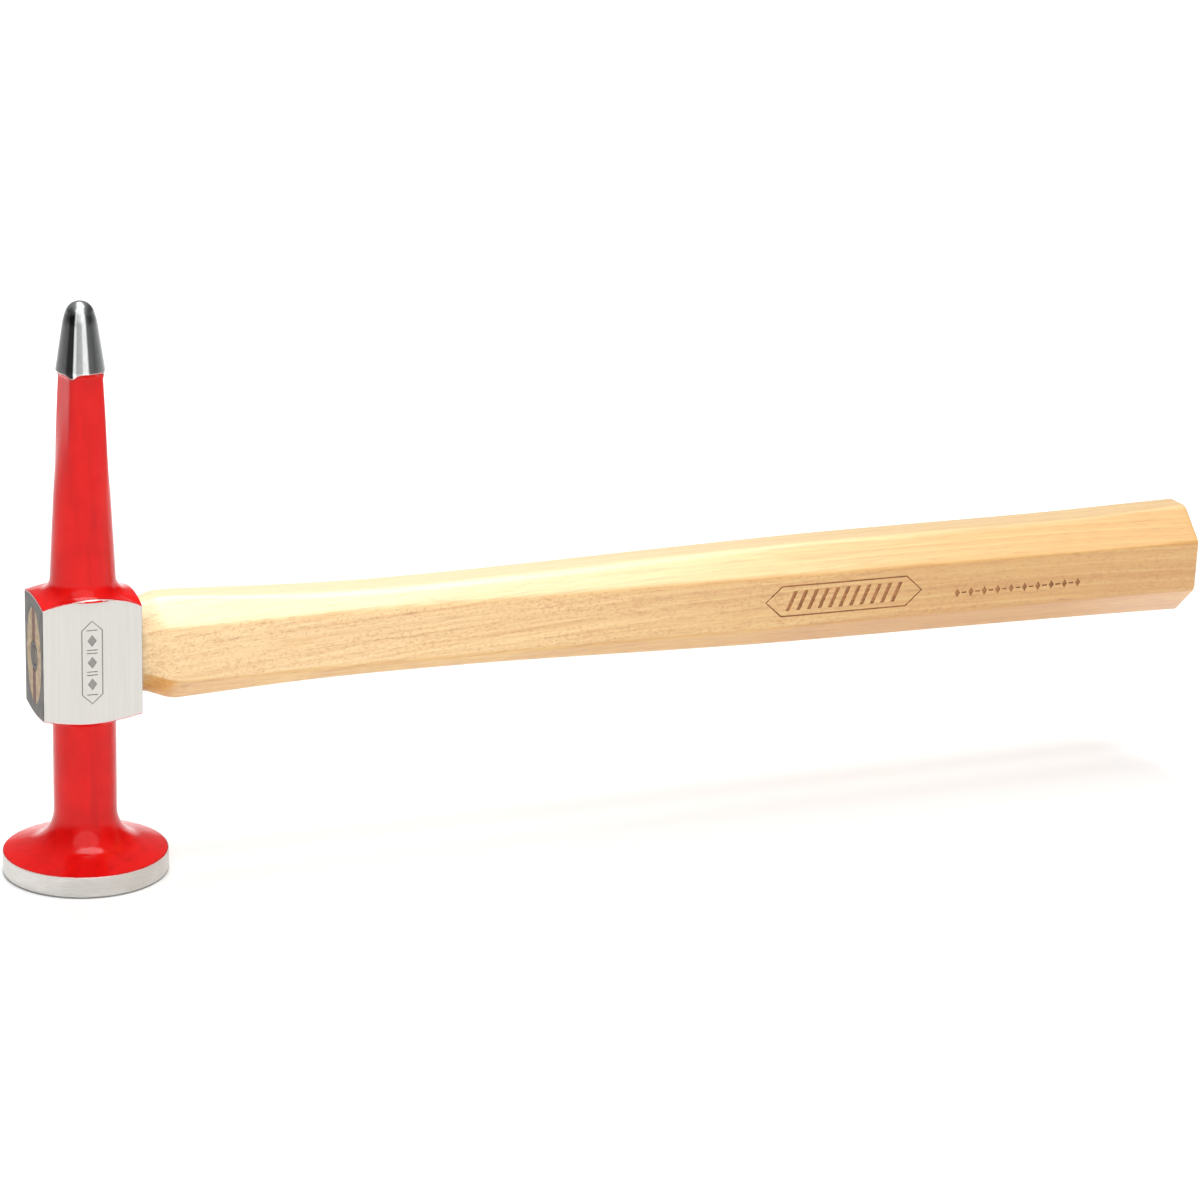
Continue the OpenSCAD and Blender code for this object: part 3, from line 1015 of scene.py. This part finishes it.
def make_wedges():
    """The wooden wedge, and the ring wedge driven across it."""
    wedge = wedge_solid("wedge_wood")
    cut(wedge, ring_solid("ring_tool", OVERCUT))
    wedge.data.materials.append(
        end_grain("wedge_end", rgb(128, 84, 64), rgb(96, 60, 44), rgb(52, 34, 26)))
    shade(wedge, 35)
    ring = ring_solid("ring_steel", crown=RING_CROWN)
    material, tree = new_material("ring_wedge_steel")
    finish_material(tree, dark_steel(tree))
    ring.data.materials.append(material)
    shade(ring, 35)
    return wedge, ring


# ---------------------------------------------------------------- stage, light and camera
def make_stage():
    """Plain pale floor, just under the striking face."""
    half_size, gap = 9000, 0.2
    floor = mesh_object("floor", [(-half_size, -half_size, 0), (half_size, -half_size, 0),
                                  (half_size, half_size, 0), (-half_size, half_size, 0)],
                        [(0, 1, 2, 3)])
    floor.location.z = -gap * MM
    material, tree = new_material("floor_paper")
    tone = grain(tree, add(tree, "ShaderNodeTexCoord").outputs["Object"], 2.0, 3)
    colour = blend_colour(tree, tone, (0.83, 0.83, 0.83, 1), (0.86, 0.86, 0.86, 1))
    finish_material(tree, principled(tree, {"Base Color": colour, "Roughness": 0.9,
                                            "Specular IOR Level": 0.1}))
    floor.data.materials.append(material)


def soft_sun(name, direction, degrees, strength):
    """Distant soft light from a direction, as wide in the sky as degrees."""
    light = bpy.data.lights.new(name, "SUN")
    light.angle = math.radians(degrees)
    light.energy = strength
    made = link_object(name, light)
    made.rotation_mode = "QUATERNION"
    made.rotation_quaternion = Vector(direction).to_track_quat("Z", "Y")


def make_light():
    """World white at the horizon and greyer above and at both ends, and four soft distant lights.

    One light is broad and in front, the strongest is overhead, and two smaller ones are behind.
    """
    world = bpy.data.worlds.new("studio")
    bpy.context.scene.world = world
    world.use_nodes = True
    tree = world.node_tree
    direction = add(tree, "ShaderNodeTexCoord").outputs["Generated"]
    toward = add(tree, "ShaderNodeSeparateXYZ", {0: direction}).outputs
    level = calc(tree, "MULTIPLY_ADD", toward["Y"], 0.3, toward["Z"])
    glow = span(tree, level, 0.02, 0.32, 0.95, 0.30)
    ends = span(tree, calc(tree, "ABSOLUTE", toward["X"]), 0.4, 0.85, 1, 0.22)
    horizon = span(tree, toward["Z"], 0.09, 0.17, 0.95, 0)
    glow = calc(tree, "MAXIMUM", times(tree, glow, ends), horizon)
    tree.links.new(glow, tree.nodes["Background"].inputs["Strength"])
    tree.nodes["Background"].inputs["Color"].default_value = (1, 1, 1, 1)
    soft_sun("front_softbox", (-0.149, -0.65, 0.745), 60, 1.3)
    soft_sun("overhead_light", (0.07, -0.05, 0.99), 34, 1.9)
    soft_sun("high_window", (0.09, 0.36, 0.93), 14, 1.2)
    soft_sun("back_window", (0.11, 0.54, 0.84), 8, 0.30)


def make_camera():
    """Camera at the reference view: in front, to the head's side, looking slightly down."""
    yaw, pitch, roll = 0.4023, 0.2991, 0.0364      # in radians
    focus = Vector((133.35, 0, 56.71)) * MM
    distance = 0.84157
    forward = Vector((math.sin(yaw) * math.cos(pitch), math.cos(yaw) * math.cos(pitch),
                      -math.sin(pitch)))
    level = Vector((math.cos(yaw), -math.sin(yaw), 0))
    upright = level.cross(forward)
    right = level * math.cos(roll) + upright * math.sin(roll)
    up = upright * math.cos(roll) - level * math.sin(roll)
    camera = bpy.data.cameras.new("camera")
    camera.sensor_width = 36
    camera.lens = 99.57
    camera.clip_start = 0.05
    camera.clip_end = 50
    made = link_object("camera", camera)
    made.matrix_world = Matrix((
        (right.x, up.x, -forward.x, focus.x - forward.x * distance),
        (right.y, up.y, -forward.y, focus.y - forward.y * distance),
        (right.z, up.z, -forward.z, focus.z - forward.z * distance),
        (0, 0, 0, 1),
    ))
    bpy.context.scene.camera = made
    bpy.context.scene.view_settings.view_transform = "Standard"


make_camera()
make_stage()
make_light()
head = make_head()
handle = make_handle()
wedge, ring = make_wedges()
for piece, node, slot in (
    (head, "head", "red_enamel_steel"),
    (handle, "handle", "hickory"),
    (wedge, "wooden_wedge", "wedge_wood"),
    (ring, "ring_wedge", "bare_steel"),
):
    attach(piece, "root")
    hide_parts(node)
